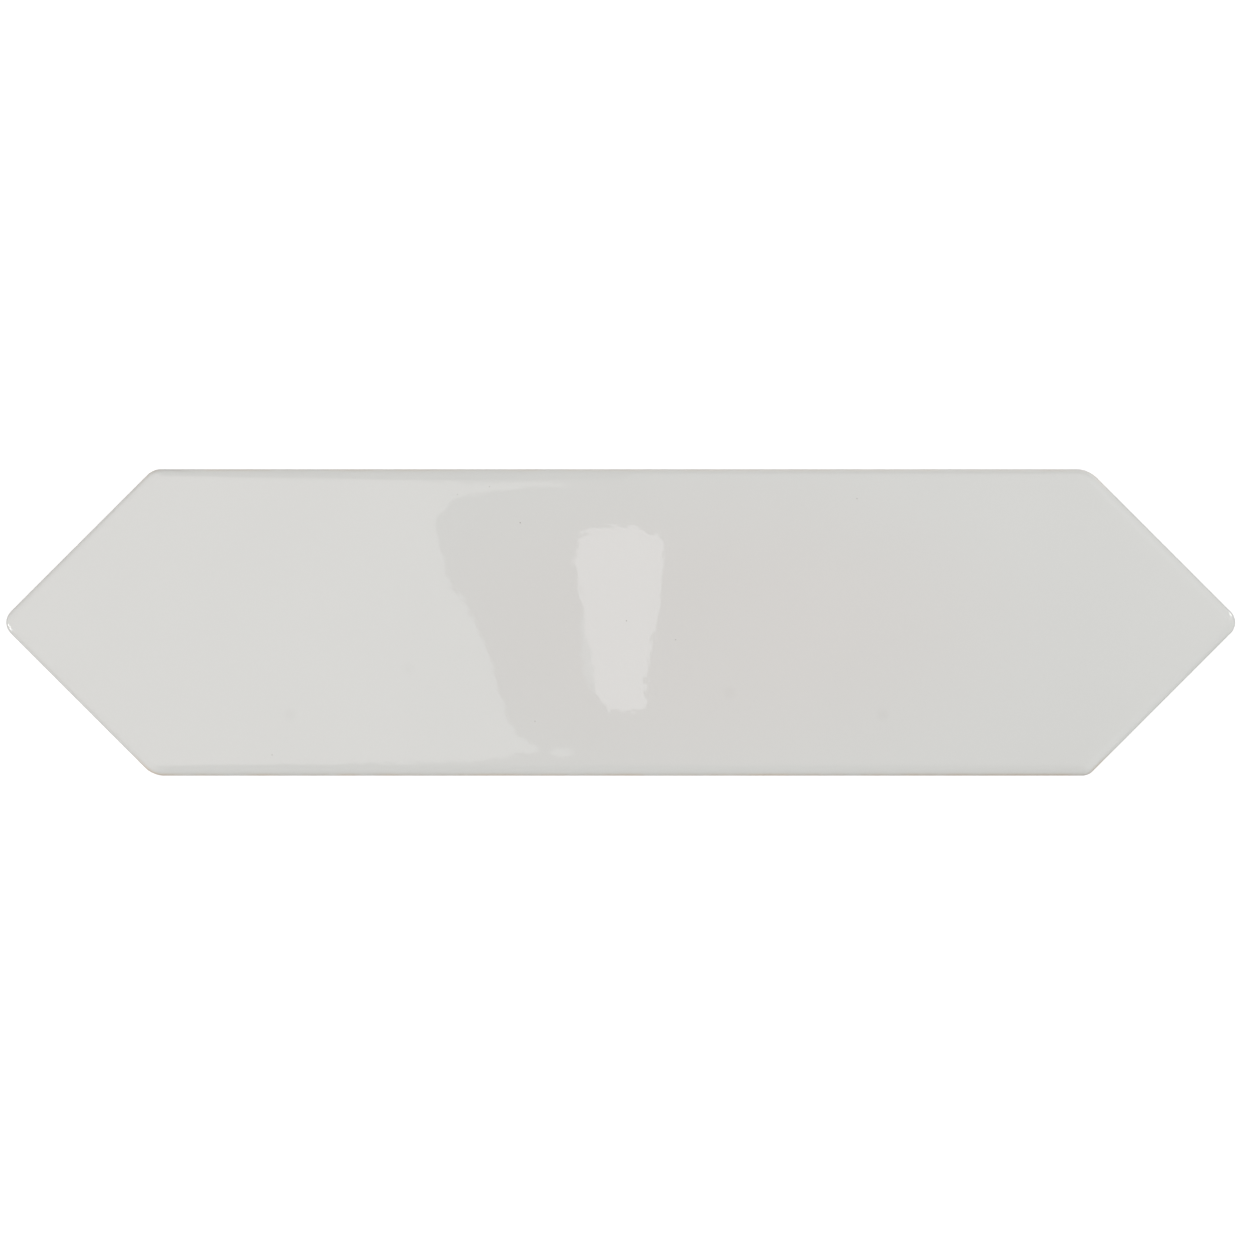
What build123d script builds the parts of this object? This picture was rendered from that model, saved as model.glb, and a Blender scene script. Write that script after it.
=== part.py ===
from build123d import *
import math
import os

# Overall sizes of the tile, in millimetres and degrees
LENGTH = 300.0  # over the two rounded tips
WIDTH = 74.8  # across the two long sides
THICKNESS = 8.5  # from the back's lands to the glazed face
END_ANGLE = 45.0  # between each end side and the long axis

# Corner rounds in plan, each as pressed, so no two shoulders are quite alike
LEFT_TIP_RADIUS = 3.8
RIGHT_TIP_RADIUS = 3.8
UPPER_LEFT_RADIUS = 4.1
UPPER_RIGHT_RADIUS = 6.4
LOWER_LEFT_RADIUS = 6.0
LOWER_RIGHT_RADIUS = 3.0

# Rolled edge of the face, a quarter ellipse in section
ROLL_WIDTH = 2.5  # from the side inwards
ROLL_DROP = 1.2  # from the face down

# Taper that leads from the upright joint land in to the back
TAPER_HEIGHT = 2.2
TAPER_INSET = 1.0
BACK_EASE = 0.4  # small chamfer where the taper meets the back

# Keying pockets pressed into the back
POCKET_SIDE = 10.4
POCKET_DEPTH = 0.6
POCKET_DRAFT = 30.0  # lean of a pocket's walls from upright
RIB_WIDTH = 2.2
BACK_MARGIN = 5.0  # plain border between the back's edge and the pockets
LEAST_POCKET_SHARE = 0.25  # a pocket cut smaller than this by the border is left out

LEAST_ROUND = 0.1  # round kept where moving an outline in would leave none
WASTE = 1.0  # reach of a cutter past the surface it cuts


def corners(inset):
    """Plan corners of the outline moved in by inset, each with its radius."""
    half_angle = math.radians(END_ANGLE)
    point_per_inset = 1 / math.sin(half_angle)
    half_width = WIDTH / 2 - inset
    end_run = half_width / math.tan(half_angle)
    left = -LENGTH / 2 - LEFT_TIP_RADIUS * (point_per_inset - 1) + inset * point_per_inset
    right = LENGTH / 2 + RIGHT_TIP_RADIUS * (point_per_inset - 1) - inset * point_per_inset
    return [
        ((right, 0), RIGHT_TIP_RADIUS - inset),
        ((right - end_run, half_width), UPPER_RIGHT_RADIUS - inset),
        ((left + end_run, half_width), UPPER_LEFT_RADIUS - inset),
        ((left, 0), LEFT_TIP_RADIUS - inset),
        ((left + end_run, -half_width), LOWER_LEFT_RADIUS - inset),
        ((right - end_run, -half_width), LOWER_RIGHT_RADIUS - inset),
    ]


def outline(inset=0):
    """Closed line round the tile, moved in by inset, its corners rounded."""
    points = [point for point, _ in corners(inset)]
    rounds = [max(radius, LEAST_ROUND) for _, radius in corners(inset)]
    return FilletPolyline(*points, radius=rounds, close=True)


def run_round(section):
    """Sweep a section round the tile. Its x is outward of the side, its y up."""
    path = Wire(outline().edges())
    along = path % 0
    outward = Vector(along.Y, -along.X)
    side = Plane(origin=path @ 0, x_dir=outward, z_dir=outward.cross(Vector(0, 0, 1)))
    return sweep(side * make_face(section), path=path, transition=Transition.TRANSFORMED)


def edge_roll_waste():
    """What the rolled edge leaves off the block, above a quarter ellipse."""
    tightest = min(radius for _, radius in corners(0))
    width = min(ROLL_WIDTH, tightest - LEAST_ROUND)
    bottom = THICKNESS - ROLL_DROP
    roll = EllipticalCenterArc((-width, bottom), width, ROLL_DROP, start_angle=0, arc_size=90)
    top = THICKNESS + WASTE
    rest = Polyline(roll @ 1, (-width, top), (WASTE, top), (WASTE, bottom), roll @ 0)
    return run_round([roll, rest])


def back_taper_waste():
    """What the taper and the eased back edge leave off the block, below the land."""
    eased = -TAPER_INSET - BACK_EASE
    sides = Polyline(
        (0, TAPER_HEIGHT),
        (-TAPER_INSET, BACK_EASE),
        (eased, 0),
        (eased, -WASTE),
        (WASTE, -WASTE),
        (WASTE, TAPER_HEIGHT),
        close=True,
    )
    return run_round(sides)


def keying_pockets():
    """Square drafted pockets in rows and columns, trimmed to the back's border."""
    pitch = POCKET_SIDE + RIB_WIDTH
    field = make_face(outline(TAPER_INSET + BACK_EASE + BACK_MARGIN).edges())
    field_size = field.bounding_box().size
    rows = int((field_size.Y + RIB_WIDTH) / pitch)
    columns = math.ceil(field_size.X / pitch)
    squares = Sketch() + [
        place * Rectangle(POCKET_SIDE, POCKET_SIDE)
        for place in GridLocations(pitch, pitch, columns, rows)
    ]
    least_area = LEAST_POCKET_SHARE * POCKET_SIDE**2
    mouths = [mouth for mouth in (squares & field).faces() if mouth.area > least_area]
    return [
        extrude(mouth, amount=POCKET_DEPTH, dir=(0, 0, 1), taper=POCKET_DRAFT)
        for mouth in mouths
    ]


block = extrude(make_face(outline().edges()), amount=THICKNESS)
picket_tile = block - edge_roll_waste() - back_taper_waste() - keying_pockets()

os.makedirs("parts", exist_ok=True)
export_step(picket_tile, "parts/picket_tile.step")
print("picket_tile volume", round(picket_tile.volume), "size", picket_tile.bounding_box().size)
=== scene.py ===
import math

import bmesh
import bpy
from bpy.props import FloatProperty, FloatVectorProperty, PointerProperty
from mathutils import Matrix, Vector


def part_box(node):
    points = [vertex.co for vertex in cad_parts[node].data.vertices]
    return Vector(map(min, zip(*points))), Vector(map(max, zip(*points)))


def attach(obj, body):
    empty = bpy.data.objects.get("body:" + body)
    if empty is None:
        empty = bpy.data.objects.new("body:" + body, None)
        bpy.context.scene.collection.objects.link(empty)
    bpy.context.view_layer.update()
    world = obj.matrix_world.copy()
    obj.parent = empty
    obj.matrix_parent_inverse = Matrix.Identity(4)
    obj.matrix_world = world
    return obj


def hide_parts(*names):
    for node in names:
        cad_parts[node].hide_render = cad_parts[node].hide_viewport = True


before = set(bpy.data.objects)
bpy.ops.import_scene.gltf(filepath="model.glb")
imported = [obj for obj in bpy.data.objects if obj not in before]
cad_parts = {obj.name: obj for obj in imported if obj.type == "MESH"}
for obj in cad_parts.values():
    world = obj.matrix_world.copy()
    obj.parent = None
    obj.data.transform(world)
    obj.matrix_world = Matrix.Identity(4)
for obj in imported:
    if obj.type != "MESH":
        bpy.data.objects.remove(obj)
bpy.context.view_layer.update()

bl_info = {
    "name": "Picket Tile",
    "version": (1, 0, 0),
    "blender": (4, 5, 0),
    "location": "View3D > Sidebar > Tile",
    "description": "Models one glazed picket wall tile and the copy stand that it is looked at on",
    "category": "Object",
}

NODE = "picket_tile"
BODY = "root"
TILE_LOW, TILE_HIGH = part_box(NODE)
TILE_SIZE = TILE_HIGH - TILE_LOW
MM = 0.001
HAIR = 1e-6  # a distance too small to matter
LIP_DROP = 0.25 * MM  # height of the glaze's rounded lip
ROOT_TWO = math.sqrt(2)


class TileForm(bpy.types.PropertyGroup):
    """Sizes of the tile. Its length, width and thickness are the frame's"""

    left_tip_round: FloatProperty(
        name="Left tip round", description="Plan radius of the left tip", default=3.8 * MM, unit="LENGTH"
    )
    right_tip_round: FloatProperty(
        name="Right tip round", description="Plan radius of the right tip", default=3.8 * MM, unit="LENGTH"
    )
    upper_left_round: FloatProperty(
        name="Upper left round", description="Plan radius there", default=4.1 * MM, unit="LENGTH"
    )
    upper_right_round: FloatProperty(
        name="Upper right round", description="Plan radius there", default=6.4 * MM, unit="LENGTH"
    )
    lower_left_round: FloatProperty(
        name="Lower left round", description="Plan radius there", default=6.0 * MM, unit="LENGTH"
    )
    lower_right_round: FloatProperty(
        name="Lower right round", description="Plan radius there", default=3.0 * MM, unit="LENGTH"
    )
    roll_width: FloatProperty(
        name="Roll width", description="Width of the face's rolled edge", default=2.5 * MM, unit="LENGTH"
    )
    roll_drop: FloatProperty(
        name="Roll drop", description="Height of the face's rolled edge", default=1.2 * MM, unit="LENGTH"
    )
    glaze_thickness: FloatProperty(
        name="Glaze thickness", description="Step down to the bare clay", default=0.2 * MM, unit="LENGTH"
    )
    glaze_line: FloatProperty(
        name="Glaze line", description="Mean height where the glaze ends", default=3.8 * MM, unit="LENGTH"
    )
    glaze_line_run: FloatProperty(
        name="Glaze line run", description="How far that line strays", default=2.4 * MM, unit="LENGTH"
    )
    taper_height: FloatProperty(
        name="Taper height", description="Top of the taper above the back", default=2.2 * MM, unit="LENGTH"
    )
    taper_inset: FloatProperty(
        name="Taper inset", description="How far the taper runs in", default=1.0 * MM, unit="LENGTH"
    )
    back_ease: FloatProperty(
        name="Back ease", description="Chamfer round the back", default=0.4 * MM, unit="LENGTH"
    )
    pocket_side: FloatProperty(
        name="Pocket side", description="Side of a keying pocket's mouth", default=10.4 * MM, unit="LENGTH"
    )
    pocket_depth: FloatProperty(
        name="Pocket depth", description="Depth of a keying pocket", default=0.6 * MM, unit="LENGTH"
    )
    pocket_lean: FloatProperty(
        name="Pocket lean", description="How far a pocket's walls lean in", default=0.35 * MM, unit="LENGTH"
    )
    pocket_round: FloatProperty(
        name="Pocket round", description="Round of a pocket's corners", default=1.0 * MM, unit="LENGTH"
    )
    pocket_ease: FloatProperty(
        name="Pocket ease", description="Softness of a pocket's edges", default=0.13 * MM, unit="LENGTH"
    )
    rib_width: FloatProperty(
        name="Rib width", description="Width of the ribs between pockets", default=2.2 * MM, unit="LENGTH"
    )
    back_margin: FloatProperty(
        name="Back margin", description="Plain border of the back", default=5.0 * MM, unit="LENGTH"
    )
    wave_height: FloatProperty(
        name="Wave height", description="Of the glaze's slow waves", default=0.004 * MM, unit="LENGTH"
    )
    wave_length: FloatProperty(
        name="Wave length", description="Of the glaze's slow waves", default=18 * MM, unit="LENGTH"
    )


class TileFinish(bpy.types.PropertyGroup):
    """Colours and textures of the glaze and the clay"""

    glaze_colour: FloatVectorProperty(
        name="Glaze colour", description="Off-white", subtype="COLOR", default=(0.644, 0.654, 0.635)
    )
    clay_colour: FloatVectorProperty(
        name="Clay colour", description="Pale buff", subtype="COLOR", default=(0.62, 0.51, 0.39)
    )
    # The pinholes' dark, also mixed in for the arris's painted shade
    pinhole_colour: FloatVectorProperty(
        name="Pinhole colour", description="Dark of a pinhole", subtype="COLOR", default=(0.16, 0.14, 0.12)
    )
    glaze_roughness: FloatProperty(
        name="Glaze roughness", description="0 is a mirror", default=0.008, min=0, max=1, subtype="FACTOR"
    )
    ripple_size: FloatProperty(
        name="Ripple size", description="Length of the glaze's fine ripple", default=1.6 * MM, unit="LENGTH"
    )
    ripple_height: FloatProperty(
        name="Ripple height", description="Of that ripple", default=0.0014 * MM, unit="LENGTH", precision=6
    )
    grain_size: FloatProperty(
        name="Grain size", description="Size of the pressed clay's grain", default=0.35 * MM, unit="LENGTH"
    )
    grain_height: FloatProperty(
        name="Grain height", description="Height of that grain", default=0.05 * MM, unit="LENGTH"
    )


class CopyStand(bpy.types.PropertyGroup):
    """The camera over the tile, and the light round it"""

    camera_height: FloatProperty(
        name="Camera height", description="Above the glazed face", default=0.8438, unit="LENGTH"
    )
    camera_right: FloatProperty(
        name="Camera right", description="Camera's place along the tile", default=0.56 * MM, unit="LENGTH"
    )
    camera_up: FloatProperty(
        name="Camera up", description="Camera's place across the tile", default=-0.14 * MM, unit="LENGTH"
    )
    camera_lens: FloatProperty(name="Camera lens", description="Focal length in millimetres", default=100)
    card_height: FloatProperty(
        name="Card height", description="Of the cards above the glazed face", default=2.0, unit="LENGTH"
    )
    lamp_strength: FloatProperty(name="Lamp strength", description="Of the strip lamps", default=24.0)
    left_light: FloatProperty(name="Left light", description="From the left wall", default=1.2)
    right_light: FloatProperty(name="Right light", description="From the right wall", default=1.4)
    room_light: FloatProperty(name="Room light", description="Light of the rest of the room", default=0.12)
    floor_colour: FloatVectorProperty(
        name="Floor colour", description="Pale paper", subtype="COLOR", default=(0.45, 0.45, 0.45)
    )
    floor_glow: FloatProperty(name="Floor glow", description="As the camera sees it", default=0.75)


def sharp_corners(form, inset=0.0):
    """The six sharp corners of the plan moved in by inset, each with its radius, from the right tip on."""
    half_length, half_width = TILE_SIZE.x / 2, TILE_SIZE.y / 2 - inset
    right = half_length + form.right_tip_round * (ROOT_TWO - 1) - inset * ROOT_TWO
    left = -half_length - form.left_tip_round * (ROOT_TWO - 1) + inset * ROOT_TWO
    return [
        (Vector((right, 0)), form.right_tip_round),
        (Vector((right - half_width, half_width)), form.upper_right_round),
        (Vector((left + half_width, half_width)), form.upper_left_round),
        (Vector((left, 0)), form.left_tip_round),
        (Vector((left + half_width, -half_width)), form.lower_left_round),
        (Vector((right - half_width, -half_width)), form.lower_right_round),
    ]


def depth_inside(point, form):
    """How far a point lies inside the nearest of the six sides."""
    corners = [corner for corner, _ in sharp_corners(form)]
    depths = []
    for number, corner in enumerate(corners):
        side = (corners[(number + 1) % len(corners)] - corner).normalized()
        depths.append(side.x * (point.y - corner.y) - side.y * (point.x - corner.x))
    return min(depths)


def deselect_all():
    if bpy.context.object and bpy.context.object.mode != "OBJECT":
        bpy.ops.object.mode_set(mode="OBJECT")
    bpy.ops.object.select_all(action="DESELECT")


def select_where(kind, test):
    """In edit mode, select just the vertices, edges or faces that pass a test."""
    bpy.ops.mesh.select_mode(type={"verts": "VERT", "edges": "EDGE", "faces": "FACE"}[kind])
    bpy.ops.mesh.select_all(action="DESELECT")
    shape = bmesh.from_edit_mesh(bpy.context.object.data)
    for part in getattr(shape, kind):
        if test(part):
            part.select_set(True)
    bmesh.update_edit_mesh(bpy.context.object.data)


def middle_of(edge):
    return (edge.verts[0].co + edge.verts[1].co) / 2


def start_polygon(name, corners, height):
    """A closed line through the corners at a height, begun as a circle and left in edit mode."""
    deselect_all()
    bpy.ops.mesh.primitive_circle_add(vertices=len(corners), radius=TILE_SIZE.x)
    line = bpy.context.object
    line.name = line.data.name = name
    bpy.ops.object.mode_set(mode="EDIT")
    for number, corner in enumerate(corners):
        select_where("verts", lambda vert: vert.index == number)
        shape = bmesh.from_edit_mesh(line.data)
        shape.verts.ensure_lookup_table()
        bpy.ops.transform.translate(value=Vector((*corner, height)) - shape.verts[number].co)
    return line


def round_corners(corners, segments):
    """Round each corner of the polygon to its own radius."""
    for number, (corner, radius) in enumerate(corners):
        before = corners[number - 1][0] - corner
        after = corners[(number + 1) % len(corners)][0] - corner
        turn = math.pi - before.angle(after)
        select_where("verts", lambda vert: (vert.co.xy - corner).length < HAIR)
        bpy.ops.mesh.bevel(
            affect="VERTICES",
            offset=radius * math.tan(turn / 2),
            segments=round(segments * turn / (math.pi / 2)),
            profile=0.5,
            clamp_overlap=False,
        )


def divide_sides(step):
    """Cut each straight side into lengths of about one step."""
    shape = bmesh.from_edit_mesh(bpy.context.object.data)
    sides = [(middle_of(edge), edge.calc_length()) for edge in shape.edges if edge.calc_length() > 2 * step]
    for middle, length in sides:
        select_where("edges", lambda edge: (middle_of(edge) - middle).length < HAIR)
        bpy.ops.mesh.subdivide(number_cuts=round(length / step) - 1)


def is_level(face, height, up):
    return abs(face.calc_center_median().z - height) < HAIR and face.normal.z * up > 0.999


def select_level(height, up):
    """Select the faces that lie level at a height and face up, or down if up is -1."""
    select_where("faces", lambda face: is_level(face, height, up))


def step_in(width, out=0.0):
    bpy.ops.mesh.inset(thickness=width, depth=out, use_even_offset=True, use_boundary=True)


def raise_by(height):
    bpy.ops.mesh.extrude_region_move(TRANSFORM_OT_translate={"value": (0, 0, height)})


def quarter_turn(width, drop, steps):
    """The (inwards, upwards) steps that follow a quarter ellipse from upright to level."""
    angles = [math.pi / 2 * number / steps for number in range(steps + 1)]
    for start, end in zip(angles, angles[1:]):
        yield width * (math.cos(start) - math.cos(end)), drop * (math.sin(end) - math.sin(start))


def outward_all():
    bpy.ops.mesh.select_all(action="SELECT")
    bpy.ops.mesh.normals_make_consistent(inside=False)


def model_glazed_body(form):
    """The outline raised to where the roll starts, then drawn in along the roll."""
    corners = sharp_corners(form)
    tile = start_polygon("glazed_tile", [corner for corner, _ in corners], form.glaze_line)
    round_corners(corners, segments=16)
    divide_sides(step=1.5 * MM)
    bpy.ops.mesh.select_all(action="SELECT")
    bpy.ops.mesh.edge_face_add()
    roll_start = TILE_HIGH.z - form.roll_drop
    wall_rows, roll_rows, brim = 5, 14, 0.2 * MM
    for _ in range(wall_rows):
        raise_by((roll_start - form.glaze_line) / wall_rows)
    outward_all()
    select_level(roll_start, 1)
    for width, rise in quarter_turn(form.roll_width, form.roll_drop, roll_rows):
        step_in(width, rise)
    step_in(brim)
    return tile


def model_foot(form):
    """Below the glaze: its rounded lip, the bare clay wall, the taper and the eased back."""
    lip_rows = 4
    select_level(form.glaze_line, -1)
    for width, drop in quarter_turn(form.glaze_thickness, LIP_DROP, lip_rows):
        step_in(width, drop)
    raise_by(form.taper_height - form.glaze_line + LIP_DROP)
    step_in(form.taper_inset - form.glaze_thickness, form.taper_height - form.back_ease)
    step_in(form.back_ease, form.back_ease)


def cut_across(height, up, axis, places):
    """Cut the level faces at a height along straight lines across an axis."""
    for place in places:
        select_level(height, up)
        bpy.ops.mesh.bisect(plane_co=axis * place, plane_no=axis, threshold=HAIR)


def grid_face(step):
    """Divide the flat face finely enough to carry the glaze's waves."""
    plain_edge = 3 * MM
    for axis, reach in ((Vector((1, 0, 0)), TILE_SIZE.x / 2), (Vector((0, 1, 0)), TILE_SIZE.y / 2)):
        count = int((reach - plain_edge) / step)
        cut_across(TILE_HIGH.z, 1, axis, [(number + 0.5) * step for number in range(-count, count)])


def rows_of_pockets(reach, form, fill):
    """Middles of the pockets in a row of this reach. fill is floor or ceil."""
    pitch = form.pocket_side + form.rib_width
    count = fill((reach + form.rib_width) / pitch)
    return [(number - (count - 1) / 2) * pitch for number in range(count)]


def press_pockets(form):
    """Cut the back along the border and the pockets' sides, then press each pocket in."""
    border = form.taper_inset + form.back_ease + form.back_margin
    corners = [corner for corner, _ in sharp_corners(form, border)]
    for number, corner in enumerate(corners):
        side = corners[(number + 1) % len(corners)] - corner
        select_level(TILE_LOW.z, -1)
        bpy.ops.mesh.bisect(plane_co=(*corner, 0), plane_no=(side.y, -side.x, 0), threshold=HAIR)
    columns = rows_of_pockets(corners[0].x - corners[3].x, form, math.ceil)
    rows = rows_of_pockets(corners[1].y - corners[5].y, form, math.floor)
    half_side = form.pocket_side / 2
    for axis, middles in ((Vector((1, 0, 0)), columns), (Vector((0, 1, 0)), rows)):
        sides = [middle + half_side * side for middle in middles for side in (-1, 1)]
        cut_across(TILE_LOW.z, -1, axis, sides)
    least_area = form.pocket_side**2 / 4

    def is_pocket(face):
        middle = face.calc_center_median().xy
        in_column = min(abs(middle.x - column) for column in columns) < half_side
        in_row = min(abs(middle.y - row) for row in rows) < half_side
        in_field = depth_inside(middle, form) > border and face.calc_area() > least_area
        return is_level(face, TILE_LOW.z, -1) and in_column and in_row and in_field

    select_where("faces", is_pocket)
    bpy.ops.mesh.inset(thickness=form.pocket_lean, depth=-form.pocket_depth, use_individual=True)
    soften_pockets(form)


def soften_pockets(form):
    """Round the pockets' corners where their sides are long enough, then ease their edges."""
    floor = TILE_LOW.z + form.pocket_depth

    def is_wall(face):
        return abs(face.calc_center_median().z - floor / 2) < HAIR and abs(face.normal.z) < 0.9

    def is_corner(edge):
        between_walls = len(edge.link_faces) == 2 and all(is_wall(face) for face in edge.link_faces)
        if not between_walls or abs(edge.verts[0].co.z - edge.verts[1].co.z) < floor / 2:
            return False
        sides = [side.calc_length() for face in edge.link_faces for side in face.edges if side is not edge]
        return sorted(sides)[2] > 2.2 * form.pocket_round

    def is_rim(edge):
        walls = sum(is_wall(face) for face in edge.link_faces)
        return walls == 1 and edge.calc_length() > 2 * form.pocket_ease

    select_where("edges", is_corner)
    bpy.ops.mesh.bevel(offset=form.pocket_round, segments=4, clamp_overlap=False)
    select_where("edges", is_rim)
    bpy.ops.mesh.bevel(offset=form.pocket_ease, segments=2, clamp_overlap=True)


def weigh(tile, name, weight_of):
    """A vertex group whose weights come from a function of the vertex."""
    group = tile.vertex_groups.new(name=name)
    for vert in tile.data.vertices:
        weight = weight_of(vert.co)
        if weight > 0:
            group.add([vert.index], weight, "REPLACE")
    return group.name


def smooth_step(value, low, high):
    share = min(max((value - low) / (high - low), 0.0), 1.0)
    return share * share * (3 - 2 * share)


def displace(tile, group, size, height, middle):
    """Push the weighted vertices along Z by a soft cloud pattern of this size, and apply it."""
    clouds = bpy.data.textures.new(group, "CLOUDS")
    clouds.noise_scale = size
    clouds.noise_depth = 1
    push = tile.modifiers.new(group, "DISPLACE")
    push.texture = clouds
    push.texture_coords = "LOCAL"
    push.direction = "Z"
    push.vertex_group = group
    push.strength = height
    push.mid_level = middle
    bpy.ops.object.modifier_apply(modifier=push.name)


def work_surface(tile, form):
    """Give the face its slow waves, and the glaze line its run."""
    lip = form.glaze_line - 0.3 * MM
    roll_start = TILE_HIGH.z - form.roll_drop
    calm_edge, drip_size = 12 * MM, 9 * MM

    def on_face(place):
        depth = depth_inside(place.xy, form)
        return smooth_step(depth, form.roll_width, calm_edge) if place.z > TILE_HIGH.z - HAIR else 0.0

    def on_lip(place):
        if place.z < lip or depth_inside(place.xy, form) > form.roll_width:
            return 0.0
        return 1 - smooth_step(place.z, form.glaze_line, roll_start)

    face, line = weigh(tile, "face waves", on_face), weigh(tile, "glaze line", on_lip)
    displace(tile, face, form.wave_length, -form.wave_height, 0.0)
    displace(tile, line, drip_size, form.glaze_line_run, 0.5)


def model_tile(form):
    tile = model_glazed_body(form)
    model_foot(form)
    grid_face(step=2.0 * MM)
    press_pockets(form)
    bpy.ops.mesh.select_all(action="SELECT")
    bpy.ops.mesh.remove_doubles(threshold=HAIR)
    outward_all()
    bpy.ops.object.mode_set(mode="OBJECT")
    bpy.ops.object.shade_smooth_by_angle(angle=math.radians(26))
    return tile


SMOOTH = {"interpolation_type": "SMOOTHSTEP"}  # a Map Range node's setting


def new_node(tree, kind, settings=None, **values):
    """A shader node with its settings and its plain input values. A value may be another node's socket."""
    node = tree.nodes.new("ShaderNode" + kind)
    for name, setting in (settings or {}).items():
        setattr(node, name, setting)
    for name, value in values.items():
        wire(tree, node, name.replace("_", " "), value)
    return node


def socket_of(node, name):
    """An enabled input of a node by its name, or by its number as text."""
    if name.isdigit():
        return node.inputs[int(name)]
    return next(socket for socket in node.inputs if socket.enabled and socket.name.lower() == name.lower())


def wire(tree, node, name, value):
    socket = socket_of(node, name)
    if isinstance(value, bpy.types.NodeSocket):
        tree.links.new(value, socket)
    elif socket.type == "RGBA":
        socket.default_value = (*value[:3], 1.0)
    else:
        socket.default_value = value


def mix_colour(tree, factor, first, second):
    node = new_node(tree, "Mix", {"data_type": "RGBA"}, Factor=factor, A=first, B=second)
    return next(socket for socket in node.outputs if socket.enabled)


def mix_value(tree, factor, first, second):
    return new_node(tree, "Mix", Factor=factor, A=first, B=second).outputs[0]


def reckon(tree, operation, first, second=0.0):
    """One Math node."""
    node = tree.nodes.new("ShaderNodeMath")
    node.operation = operation
    wire(tree, node, "0", first)
    wire(tree, node, "1", second)
    return node.outputs[0]


def reckon_vector(tree, operation, socket, vector):
    """One Vector Math node on a socket and a plain vector."""
    node = new_node(tree, "VectorMath", {"operation": operation})
    tree.links.new(socket, node.inputs[0])
    node.inputs[1].default_value = vector
    return node.outputs[0]


def product(tree, first, *others):
    """All the factors multiplied."""
    for other in others:
        first = reckon(tree, "MULTIPLY", first, other)
    return first


def band(tree, value, start, end):
    """0 below start, 1 above end, smooth between. start may be the larger one."""
    low, high, bottom, top = (start, end, 0.0, 1.0) if start < end else (end, start, 1.0, 0.0)
    limits = {"From_Min": low, "From_Max": high, "To_Min": bottom, "To_Max": top}
    return new_node(tree, "MapRange", SMOOTH, Value=value, **limits).outputs[0]


def cloud(tree, place, size, detail=2.0, stretch=0.0):
    """Noise whose features are about size across, from 0 to 1."""
    node = new_node(tree, "TexNoise", Vector=place, Scale=1 / size, Detail=detail, Distortion=stretch)
    return node.outputs[0]


def new_group(name, inputs, outputs):
    """An empty shader node group with named sockets, and the nodes that stand for its two ends."""
    group = bpy.data.node_groups.new(name, "ShaderNodeTree")
    for label, kind, default in inputs:
        socket = group.interface.new_socket(name=label, in_out="INPUT", socket_type="NodeSocket" + kind)
        if default is not None:
            socket.default_value = default
    for label, kind in outputs:
        group.interface.new_socket(name=label, in_out="OUTPUT", socket_type="NodeSocket" + kind)
    return group, group.nodes.new("NodeGroupInput"), group.nodes.new("NodeGroupOutput")


def place_group(tree, group, **values):
    node = tree.nodes.new("ShaderNodeGroup")
    node.node_tree = group
    for name, value in values.items():
        wire(tree, node, name.replace("_", " "), value)
    return node


def build_spot_group():
    """A round spot: 1 at its centre, 0 past its radius."""
    inputs = [
        ("Place", "Vector", None),
        ("Centre", "Vector", None),
        ("Radius", "Float", MM),
        ("Core", "Float", 0.3),
    ]
    group, given, result = new_group("Round spot", inputs, [("Mask", "Float")])
    away = new_node(group, "VectorMath", {"operation": "DISTANCE"})
    group.links.new(given.outputs["Place"], away.inputs[0])
    group.links.new(given.outputs["Centre"], away.inputs[1])
    share = reckon(group, "DIVIDE", away.outputs["Value"], given.outputs["Radius"])
    fade = new_node(group, "MapRange", SMOOTH, To_Min=1.0, To_Max=0.0, From_Max=1.0)
    group.links.new(share, fade.inputs["Value"])
    group.links.new(given.outputs["Core"], fade.inputs["From Min"])
    group.links.new(fade.outputs[0], result.inputs["Mask"])
    return group


def build_grain_group():
    """Grain of one size: a height, and a broader tone, both about 0.5."""
    inputs = [("Place", "Vector", None), ("Size", "Float", MM), ("Detail", "Float", 3.0)]
    group, given, result = new_group("Grain", inputs, [("Tone", "Float"), ("Height", "Float")])
    for share, output in ((1.0, "Height"), (0.2, "Tone")):
        noise = new_node(group, "TexNoise")
        group.links.new(given.outputs["Place"], noise.inputs["Vector"])
        group.links.new(reckon(group, "DIVIDE", share, given.outputs["Size"]), noise.inputs["Scale"])
        group.links.new(given.outputs["Detail"], noise.inputs["Detail"])
        group.links.new(noise.outputs[0], result.inputs[output])
    return group


def build_flecks_group():
    """Scattered small flecks: a mask of 1 on a fleck. Share is how many cells hold one."""
    inputs = [
        ("Place", "Vector", None),
        ("Spacing", "Float", MM),
        ("Radius", "Float", 0.2),
        ("Share", "Float", 0.2),
    ]
    group, given, result = new_group("Flecks", inputs, [("Mask", "Float")])
    cells = new_node(group, "TexVoronoi", {"feature": "F1"})
    group.links.new(given.outputs["Place"], cells.inputs["Vector"])
    group.links.new(reckon(group, "DIVIDE", 1.0, given.outputs["Spacing"]), cells.inputs["Scale"])
    near = reckon(group, "LESS_THAN", cells.outputs["Distance"], given.outputs["Radius"])
    tint = new_node(group, "SeparateColor")
    group.links.new(cells.outputs["Color"], tint.inputs[0])
    chosen = reckon(group, "LESS_THAN", tint.outputs[0], given.outputs["Share"])
    group.links.new(reckon(group, "MULTIPLY", near, chosen), result.inputs["Mask"])
    return group


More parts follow.
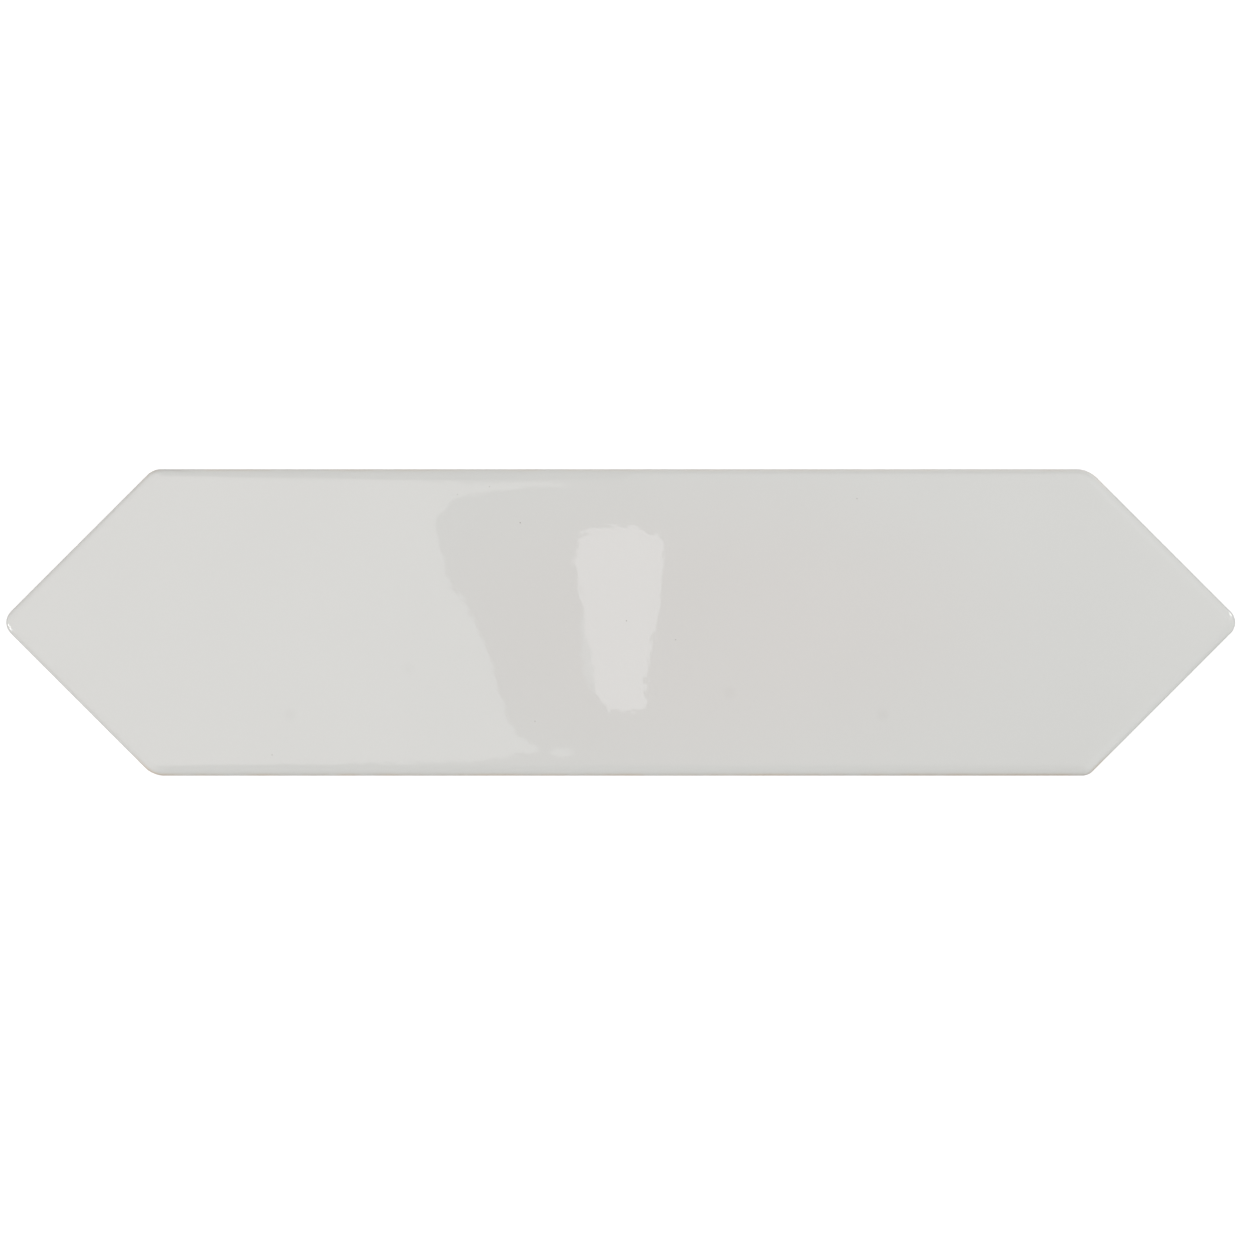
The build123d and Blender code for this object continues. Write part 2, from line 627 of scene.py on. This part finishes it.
# Faults in the glaze, in millimetres on the face, each with its strength
PINHOLES = [
    (57.6, 30.2, 0.5), (-24.5, 24.3, 0.8), (1.4, 0.4, 0.7), (-20.9, -24.1, 0.5),
    (13.4, -4.2, 0.5), (-85.0, -32.3, 0.5), (-32.0, 33.1, 0.4), (-39.8, 31.2, 0.3),
]
SUNK_SPOTS = [(-80.6, -22.5, 1.0), (26.6, -17.2, 1.0), (63.9, -22.5, 1.3), (-51.6, -11.3, 0.6)]

# The painted highlight's tone for the arris, tones in the bare clay, and the painted shade of its pockets
PAINTED_HIGHLIGHT_TONE = (0.9, 0.9, 0.88)
BURNT_CLAY = (0.60, 0.42, 0.27)
# Painted shade for the floors of the back's pockets
PAINTED_POCKET_SHADE = (0.33, 0.25, 0.17)
IRON_FLECK = (0.16, 0.09, 0.05)


def finish_material(name):
    """An empty material with its object coordinates and its shader."""
    material = bpy.data.materials.new(name)
    material.use_nodes = True
    tree = material.node_tree
    tree.nodes.clear()
    place = tree.nodes.new("ShaderNodeTexCoord").outputs["Object"]
    shader = tree.nodes.new("ShaderNodeBsdfPrincipled")
    output = tree.nodes.new("ShaderNodeOutputMaterial")
    tree.links.new(shader.outputs[0], output.inputs["Surface"])
    return material, tree, place, shader


def all_spots(tree, place, group, points, radius, core):
    """One mask for a list of round spots, given in millimetres on the face."""
    total = 0.0
    for x, y, strength in points:
        centre = (x * MM, y * MM, TILE_HIGH.z)
        spot = place_group(tree, group, Place=place, Centre=centre, Radius=radius, Core=core)
        total = reckon(tree, "MAXIMUM", product(tree, spot.outputs["Mask"], strength), total)
    return total


def glaze_material(finish, groups):
    material, tree, place, shader = finish_material("Glaze")
    parts = new_node(tree, "SeparateXYZ", Vector=place)
    along, across, height = (parts.outputs[axis] for axis in "XYZ")
    broad, fine = cloud(tree, place, 30 * MM, detail=3.0), cloud(tree, place, 0.3 * MM, detail=0.0)
    light, dark = (tuple(part * share for part in finish.glaze_colour) for share in (1.02, 0.98))
    colour = mix_colour(tree, mix_value(tree, 0.35, broad, fine), dark, light)

    # The arris: on the long sides the glaze drew thin over the clay, with painted shade making it darker
    # on the lower side; painted shade darkens it at the upper left end and towards the lower right,
    # and a painted highlight lightens it towards the upper right
    arris_top, arris_low = band(tree, height, 8.25 * MM, 7.7 * MM), band(tree, height, 5.6 * MM, 6.8 * MM)
    arris = product(tree, arris_top, arris_low)
    long_side = band(tree, reckon(tree, "ABSOLUTE", across), 30 * MM, 36 * MM)
    uneven = band(tree, cloud(tree, place, 8 * MM), 0.2, 0.7)
    # Painted shade: the lower long side gets twice the thin-glaze darkening of the upper one
    shade_below = mix_value(tree, band(tree, across, -30 * MM, 30 * MM), 0.7, 0.35)
    thin_glaze_and_shade = product(tree, arris, long_side, uneven, shade_below)
    colour = mix_colour(tree, thin_glaze_and_shade, colour, finish.clay_colour)
    # Painted shade: the arris darker at the upper left end
    left_end, upper_half = band(tree, along, -100 * MM, -110 * MM), band(tree, across, 0, 3 * MM)
    painted_shade = product(tree, arris, left_end, upper_half, 0.12)
    colour = mix_colour(tree, painted_shade, colour, finish.pinhole_colour)
    # Painted shade: the arris darker along the lower long side towards the right end
    to_right, low_side = band(tree, along, 10 * MM, 110 * MM), band(tree, across, 0, -30 * MM)
    painted_shade = product(tree, arris, to_right, low_side, long_side, 0.12)
    colour = mix_colour(tree, painted_shade, colour, finish.pinhole_colour)
    # Painted highlight: the upper long side's arris made whiter towards the right, for light from the upper
    # right
    to_right, high_side = band(tree, along, -120 * MM, 60 * MM), band(tree, across, 0, 30 * MM)
    painted_highlight = product(tree, arris, to_right, high_side, long_side, 0.35)
    colour = mix_colour(tree, painted_highlight, colour, PAINTED_HIGHLIGHT_TONE)

    sunk = all_spots(tree, place, groups["spot"], SUNK_SPOTS, 2.3 * MM, 0.1)
    colour = mix_colour(tree, product(tree, sunk, 0.032), colour, finish.pinhole_colour)
    pinholes = all_spots(tree, place, groups["spot"], PINHOLES, 0.2 * MM, 0.3)
    colour = mix_colour(tree, product(tree, pinholes, 0.9), colour, finish.pinhole_colour)
    wire(tree, shader, "Base Color", colour)

    ripple = place_group(tree, groups["grain"], Place=place, Size=finish.ripple_size, Detail=0.0)
    ripple_height = ripple.outputs["Height"]
    swell = new_node(tree, "Bump", Strength=1.0, Distance=finish.ripple_height, Height=ripple_height)
    pits = new_node(tree, "Bump", {"invert": True}, Strength=1.0, Distance=0.05 * MM, Height=pinholes)
    tree.links.new(swell.outputs[0], pits.inputs["Normal"])
    wire(tree, shader, "Normal", pits.outputs[0])
    shader.inputs["Roughness"].default_value = finish.glaze_roughness
    shader.inputs["IOR"].default_value = 1.5
    return material


def clay_material(finish, groups):
    material, tree, place, shader = finish_material("Bare clay")
    height = new_node(tree, "SeparateXYZ", Vector=place).outputs["Z"]
    grain = place_group(tree, groups["grain"], Place=place, Size=finish.grain_size, Detail=4.0)
    dark, light = (tuple(part * share for part in finish.clay_colour) for share in (0.86, 1.12))
    colour = mix_colour(tree, grain.outputs["Tone"], dark, light)
    burn = band(tree, cloud(tree, place, 45 * MM, detail=3.0, stretch=0.6), 0.42, 0.72)
    colour = mix_colour(tree, product(tree, burn, 0.35), colour, BURNT_CLAY)
    # Painted shade: darker from 0.1 to 0.9 mm above the back, on the pockets' floors and walls
    above_back, below_taper = band(tree, height, 0.1 * MM, 0.5 * MM), band(tree, height, 0.9 * MM, 0.7 * MM)
    colour = mix_colour(tree, product(tree, above_back, below_taper, 0.22), colour, PAINTED_POCKET_SHADE)
    iron = place_group(tree, groups["flecks"], Place=place, Spacing=2.6 * MM, Radius=0.07, Share=0.3)
    colour = mix_colour(tree, product(tree, iron.outputs["Mask"], 0.55), colour, IRON_FLECK)
    mist = place_group(tree, groups["flecks"], Place=place, Spacing=0.8 * MM, Radius=0.33, Share=0.7)
    spray = product(tree, mist.outputs["Mask"], band(tree, height, 2.4 * MM, 3.8 * MM))
    colour = mix_colour(tree, product(tree, spray, 0.8), colour, finish.glaze_colour)
    wire(tree, shader, "Base Color", colour)
    wire(tree, shader, "Roughness", reckon(tree, "SUBTRACT", 0.88, product(tree, spray, 0.5)))
    grain_height = grain.outputs["Height"]
    rough = new_node(tree, "Bump", Strength=1.0, Distance=finish.grain_height, Height=grain_height)
    drops = new_node(tree, "Bump", Strength=1.0, Distance=0.04 * MM, Height=spray)
    tree.links.new(rough.outputs[0], drops.inputs["Normal"])
    wire(tree, shader, "Normal", drops.outputs[0])
    return material


def glaze_down_to_lip(tile, form, glaze, clay):
    """Glaze on all that lies above the lip, bare clay on the rest. The lip is still level."""
    tile.data.materials.append(glaze)
    tile.data.materials.append(clay)
    bpy.ops.object.mode_set(mode="EDIT")
    select_where("faces", lambda face: face.calc_center_median().z < form.glaze_line - LIP_DROP)
    tile.active_material_index = 1
    bpy.ops.object.material_slot_assign()
    bpy.ops.object.mode_set(mode="OBJECT")
    tile.active_material_index = 0


# Outlines of what the flat glaze mirrors to the camera, in millimetres on the face from the camera's axis
SOFTBOX_SEEN = [
    (-9.5, 33.6), (-23.6, 32.6), (-35.3, 31.1), (-41.0, 30.0), (-43.8, 27.6), (-46.0, 24.8), (-45.7, 21.6),
    (-44.6, 17.5), (-43.2, 12.1), (-42.4, 9.0), (-38.6, 5.2), (-32.7, -7.9), (-28.2, -23.1), (-26.3, -26.5),
    (-20.9, -30.2), (-20.7, -31.0), (-34.8, -33.4), (-42.0, -33.8), (-59.2, -34.0), (-66.0, -34.6),
    (-96.0, -34.8), (-108.0, -45.0), (-400.0, -640.0), (-740.0, -640.0), (-740.0, 640.0), (-230.0, 640.0),
    (-108.0, 228.0), (-96.0, 148.0), (-84.0, 98.0), (-71.0, 75.0), (-60.0, 40.0), (-47.0, 34.3),
    (-35.0, 34.0), (-15.3, 33.9),
]
TAIL_SEEN = [
    (-18.0, -30.9), (-15.6, -30.1), (-14.4, -31.0), (-12.6, -30.3), (-11.4, -31.4), (-14.2, -32.1),
    (-17.6, -32.3),
]
WINDOW_SEEN = [
    (-10.0, 21.6), (-8.3, 22.6), (-4.4, 23.7), (1.7, 23.8), (6.2, 22.2), (8.6, 21.4), (9.4, 19.9),
    (10.1, 17.2), (9.0, 5.0), (6.5, -9.1), (5.4, -13.1), (5.5, -20.9), (1.7, -21.7), (-2.8, -21.3),
    (-5.6, -20.0), (-6.7, -16.9), (-7.0, -10.8), (-8.8, -4.3), (-9.5, 2.6), (-12.0, 14.4), (-12.0, 17.7),
]
CURTAIN_SEEN = [
    (-10.1, 4.5), (-8.5, 4.5), (-7.2, -6.0), (-6.4, -17.5), (-7.6, -17.5), (-9.6, -12.0), (-10.2, -3.0),
]
CEILING_SEEN = [
    (-60.0, -38.0), (108.0, -38.0), (116.0, -60.0), (330.0, -480.0), (640.0, -480.0), (640.0, 450.0),
    (3.0, 450.0), (0.0, 39.0), (-60.0, 39.0),
]
SOFTBOX_GLOW = (1.68, 1.6, 1.58)
WINDOW_GLOW = (2.29, 1.99, 2.03)
CURTAIN_GLOW = (1.25, 1.1, 1.1)

# Heights of the curtain and the ceiling over the other cards
CURTAIN_LIFT, CEILING_LIFT = 0.02, 0.05

# The ceiling's paleness: its least, its rises along the tile from one place to another in millimetres as
# seen in the face, and how much more it has above the tile's middle line than below, at the right end
CEILING_LEAST = 0.62
CEILING_RISES = [(-45, 110, 0.36), (105, 160, 0.42)]
CEILING_SLANT = 0.4

# Its warm part, an ellipse as seen in the face
WARM_MIDDLE, WARM_REACH = (12, -2, 0), (105, 48)
WARM_TONE = (1.08, 0.6, 0.56)

# Directions in degrees round from +X and from upright: each strip lamp's two ends, and the low lamp's
LEFT_STRIP = (187, 75), (208, 53)
RIGHT_STRIP = (34, 75), (15, 57)
LOW_LAMP = (-60, 111), (-60, 145)

# The walls' light: direction in the same degrees, and how far round it reaches
LEFT_WALL = (191, 75), 80
RIGHT_WALL = (5, 80), 85


def glow_material(name, colour, strength=1.0):
    material = bpy.data.materials.new(name)
    material.use_nodes = True
    tree = material.node_tree
    tree.nodes.clear()
    shader = new_node(tree, "Emission", Color=colour, Strength=strength)
    output = tree.nodes.new("ShaderNodeOutputMaterial")
    tree.links.new(shader.outputs[0], output.inputs["Surface"])
    return material


def mirror_spread(stand, height):
    """How many times larger than its mirror image in the face a thing at this height over the face is."""
    return 1 + height / stand.camera_height


def lay_card(name, seen, stand, lift, colour):
    """A glowing card over the tile, which the flat glaze shows to the camera with this outline."""
    height = stand.card_height + lift
    spread = mirror_spread(stand, height) * MM
    axis = Vector((stand.camera_right, stand.camera_up))
    corners = [axis + Vector(point) * spread for point in seen]
    card = start_polygon(name, corners, TILE_HIGH.z + height)
    bpy.ops.mesh.select_all(action="SELECT")
    bpy.ops.mesh.edge_face_add()
    bpy.ops.object.mode_set(mode="OBJECT")
    card.data.materials.append(glow_material(name, colour))
    card.visible_camera = False
    return card


def lay_ceiling(stand):
    """The room above: dim and warm over the middle of the tile, paler and neutral over its right end."""
    ceiling = lay_card("ceiling", CEILING_SEEN, stand, CEILING_LIFT, (1, 1, 1))
    tree = ceiling.active_material.node_tree
    place = tree.nodes.new("ShaderNodeTexCoord").outputs["Object"]
    spread = mirror_spread(stand, stand.card_height + CEILING_LIFT) * MM
    seen = reckon_vector(tree, "DIVIDE", place, (spread, spread, spread))
    parts = new_node(tree, "SeparateXYZ", Vector=seen)
    along, across = parts.outputs["X"], parts.outputs["Y"]
    pale = CEILING_LEAST
    for start, end, rise in CEILING_RISES:
        pale = reckon(tree, "ADD", product(tree, band(tree, along, start, end), rise), pale)
    slant = reckon(tree, "SUBTRACT", band(tree, across, -45, 45), 0.5)
    slant = product(tree, slant, band(tree, along, 0, 100), CEILING_SLANT)
    pale = reckon(tree, "ADD", pale, slant)
    away = reckon_vector(tree, "SUBTRACT", seen, WARM_MIDDLE)
    share = reckon_vector(tree, "MULTIPLY", away, (1 / WARM_REACH[0], 1 / WARM_REACH[1], 0))
    far = new_node(tree, "VectorMath", {"operation": "LENGTH"})
    tree.links.new(share, far.inputs[0])
    warm = band(tree, far.outputs["Value"], 1.0, 0.25)
    tone = mix_colour(tree, warm, (1, 1, 1), WARM_TONE)
    shader = next(node for node in tree.nodes if node.type == "EMISSION")
    tree.links.new(tone, shader.inputs["Color"])
    tree.links.new(pale, shader.inputs["Strength"])


def direction_of(compass, lean):
    """A direction from degrees round from +X and degrees from upright."""
    turn, tip = math.radians(compass), math.radians(lean)
    return Vector((math.cos(turn) * math.sin(tip), math.sin(turn) * math.sin(tip), math.cos(tip)))


def hang_lamp(name, start, end, distance, width, radiance):
    """A long lamp from one direction to another, each in degrees, that looks at the tile."""
    first, last = (direction_of(*place) * distance for place in (start, end))
    along, back = last - first, (first + last).normalized()
    turn = Matrix((along.normalized(), back.cross(along).normalized(), back)).transposed()
    deselect_all()
    bpy.ops.object.light_add(type="AREA", location=(first + last) / 2, rotation=turn.to_euler())
    lamp = bpy.context.object
    lamp.name = name
    lamp.data.shape = "RECTANGLE"
    lamp.data.size, lamp.data.size_y = along.length, width
    lamp.data.energy = radiance * math.pi * along.length * width
    return lamp


def lay_floor(stand, form):
    """Pale paper, open just under the tile, so that the tile's back can be looked at from below."""
    reach, gap, drop = 10.0, 0.4 * MM, 0.05 * MM
    corners = [corner for corner, _ in sharp_corners(form, -reach)]
    floor = start_polygon("floor", corners, -drop)
    bpy.ops.mesh.select_all(action="SELECT")
    bpy.ops.mesh.edge_face_add()
    step_in(reach - gap)
    bpy.ops.mesh.delete(type="FACE")
    bpy.ops.object.mode_set(mode="OBJECT")
    if floor.data.polygons[0].normal.z < 0:
        bpy.ops.object.mode_set(mode="EDIT")
        bpy.ops.mesh.select_all(action="SELECT")
        bpy.ops.mesh.flip_normals()
        bpy.ops.object.mode_set(mode="OBJECT")
    material = bpy.data.materials.new("Pale paper")
    material.use_nodes = True
    tree = material.node_tree
    tree.nodes.clear()
    paper = new_node(tree, "BsdfDiffuse", Color=stand.floor_colour)
    seen = tree.nodes.new("ShaderNodeLightPath").outputs["Is Camera Ray"]
    glow = new_node(tree, "Emission", Strength=reckon(tree, "MULTIPLY", seen, stand.floor_glow))
    both = tree.nodes.new("ShaderNodeAddShader")
    clear = tree.nodes.new("ShaderNodeBsdfTransparent")
    side = tree.nodes.new("ShaderNodeMixShader")
    output = tree.nodes.new("ShaderNodeOutputMaterial")
    tree.links.new(paper.outputs[0], both.inputs[0])
    tree.links.new(glow.outputs[0], both.inputs[1])
    tree.links.new(tree.nodes.new("ShaderNodeNewGeometry").outputs["Backfacing"], side.inputs[0])
    tree.links.new(both.outputs[0], side.inputs[1])
    tree.links.new(clear.outputs[0], side.inputs[2])
    tree.links.new(side.outputs[0], output.inputs["Surface"])
    floor.data.materials.append(material)


def build_lobe_group():
    """Soft light from round one direction. Inner and outer are angles in radians."""
    inputs = [
        ("Direction", "Vector", None),
        ("Centre", "Vector", None),
        ("Inner", "Float", 0.3),
        ("Outer", "Float", 1.4),
        ("Strength", "Float", 1.0),
    ]
    group, given, result = new_group("Wall light", inputs, [("Light", "Float")])
    dot = new_node(group, "VectorMath", {"operation": "DOT_PRODUCT"})
    group.links.new(given.outputs["Direction"], dot.inputs[0])
    group.links.new(given.outputs["Centre"], dot.inputs[1])
    angle = reckon(group, "ARCCOSINE", dot.outputs["Value"])
    fade = new_node(group, "MapRange", SMOOTH, To_Min=1.0, To_Max=0.0)
    group.links.new(angle, fade.inputs["Value"])
    group.links.new(given.outputs["Inner"], fade.inputs["From Min"])
    group.links.new(given.outputs["Outer"], fade.inputs["From Max"])
    light = reckon(group, "MULTIPLY", fade.outputs[0], given.outputs["Strength"])
    group.links.new(light, result.inputs["Light"])
    return group


def set_room(stand):
    """The room's walls as soft light, left and right; the camera itself sees plain white past the floor."""
    world = bpy.data.worlds.new("Room")
    world.use_nodes = True
    tree = world.node_tree
    tree.nodes.clear()
    direction = tree.nodes.new("ShaderNodeTexCoord").outputs["Generated"]
    lobe = build_lobe_group()
    light = stand.room_light
    inner = math.radians(20)
    for (middle, reach), strength in ((LEFT_WALL, stand.left_light), (RIGHT_WALL, stand.right_light)):
        angles = {"Centre": direction_of(*middle), "Inner": inner, "Outer": math.radians(reach)}
        wall = place_group(tree, lobe, Direction=direction, Strength=strength, **angles)
        light = reckon(tree, "ADD", wall.outputs["Light"], light)
    seen = tree.nodes.new("ShaderNodeLightPath").outputs["Is Camera Ray"]
    room = new_node(tree, "Background", Strength=light)
    white = new_node(tree, "Background", Strength=1.05)
    white.inputs["Color"].default_value = room.inputs["Color"].default_value = (1, 1, 1, 1)
    mix = tree.nodes.new("ShaderNodeMixShader")
    output = tree.nodes.new("ShaderNodeOutputWorld")
    tree.links.new(seen, mix.inputs[0])
    tree.links.new(room.outputs[0], mix.inputs[1])
    tree.links.new(white.outputs[0], mix.inputs[2])
    tree.links.new(mix.outputs[0], output.inputs["Surface"])
    bpy.context.scene.world = world
    bpy.context.scene.view_settings.view_transform = "Standard"


def stand_camera(stand):
    deselect_all()
    place = (stand.camera_right, stand.camera_up, TILE_HIGH.z + stand.camera_height)
    bpy.ops.object.camera_add(location=place, rotation=(0, 0, 0))
    camera = bpy.context.object
    camera.data.lens = stand.camera_lens
    camera.data.sensor_width = 36
    bpy.context.scene.camera = camera


class TILE_OT_model(bpy.types.Operator):
    """Model the glazed tile in place of its plain solid"""

    bl_idname = "tile.model"
    bl_label = "Model Tile"
    bl_options = {"REGISTER", "UNDO"}

    def execute(self, context):
        form, finish = context.scene.tile_form, context.scene.tile_finish
        groups = {"spot": build_spot_group(), "grain": build_grain_group(), "flecks": build_flecks_group()}
        tile = model_tile(form)
        glaze_down_to_lip(tile, form, glaze_material(finish, groups), clay_material(finish, groups))
        work_surface(tile, form)
        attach(tile, BODY)
        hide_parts(NODE)
        return {"FINISHED"}


class TILE_OT_stage(bpy.types.Operator):
    """Lay the floor, hang the lamps and cards, and stand the camera over the tile"""

    bl_idname = "tile.stage"
    bl_label = "Lay Copy Stand"
    bl_options = {"REGISTER", "UNDO"}

    def execute(self, context):
        stand = context.scene.copy_stand
        lay_floor(stand, context.scene.tile_form)
        lay_ceiling(stand)
        lay_card("softbox", SOFTBOX_SEEN, stand, 0.0, SOFTBOX_GLOW)
        lay_card("softbox tail", TAIL_SEEN, stand, 0.0, SOFTBOX_GLOW)
        lay_card("window", WINDOW_SEEN, stand, 0.0, WINDOW_GLOW)
        lay_card("curtain", CURTAIN_SEEN, stand, CURTAIN_LIFT, CURTAIN_GLOW)
        strength = stand.lamp_strength
        left = hang_lamp("left strip", *LEFT_STRIP, distance=2.2, width=0.12, radiance=strength)
        right = hang_lamp("right strip", *RIGHT_STRIP, distance=2.2, width=0.2, radiance=strength)
        left.visible_diffuse = right.visible_diffuse = False
        hang_lamp("low lamp", *LOW_LAMP, distance=1.6, width=1.0, radiance=5.0)
        set_room(stand)
        stand_camera(stand)
        return {"FINISHED"}


class VIEW3D_PT_picket_tile(bpy.types.Panel):
    """Lists the tile's sizes, its finish and the copy stand"""

    bl_label = "Picket Tile"
    bl_idname = "VIEW3D_PT_picket_tile"
    bl_space_type = "VIEW_3D"
    bl_region_type = "UI"
    bl_category = "Tile"

    def draw(self, context):
        for title, name, operator in (
            ("Sizes", "tile_form", None),
            ("Finish", "tile_finish", "tile.model"),
            ("Copy stand", "copy_stand", "tile.stage"),
        ):
            group = getattr(context.scene, name)
            box = self.layout.box()
            box.label(text=title)
            for value in group.bl_rna.properties:
                if value.identifier in group.__annotations__:
                    box.prop(group, value.identifier)
            if operator:
                box.operator(operator)


CLASSES = (TileForm, TileFinish, CopyStand, TILE_OT_model, TILE_OT_stage, VIEW3D_PT_picket_tile)


def register():
    for cls in CLASSES:
        bpy.utils.register_class(cls)
    bpy.types.Scene.tile_form = PointerProperty(type=TileForm)
    bpy.types.Scene.tile_finish = PointerProperty(type=TileFinish)
    bpy.types.Scene.copy_stand = PointerProperty(type=CopyStand)


def unregister():
    del bpy.types.Scene.tile_form, bpy.types.Scene.tile_finish, bpy.types.Scene.copy_stand
    for cls in reversed(CLASSES):
        bpy.utils.unregister_class(cls)


def main():
    register()
    bpy.ops.tile.model()
    bpy.ops.tile.stage()


if __name__ == "__main__":
    main()
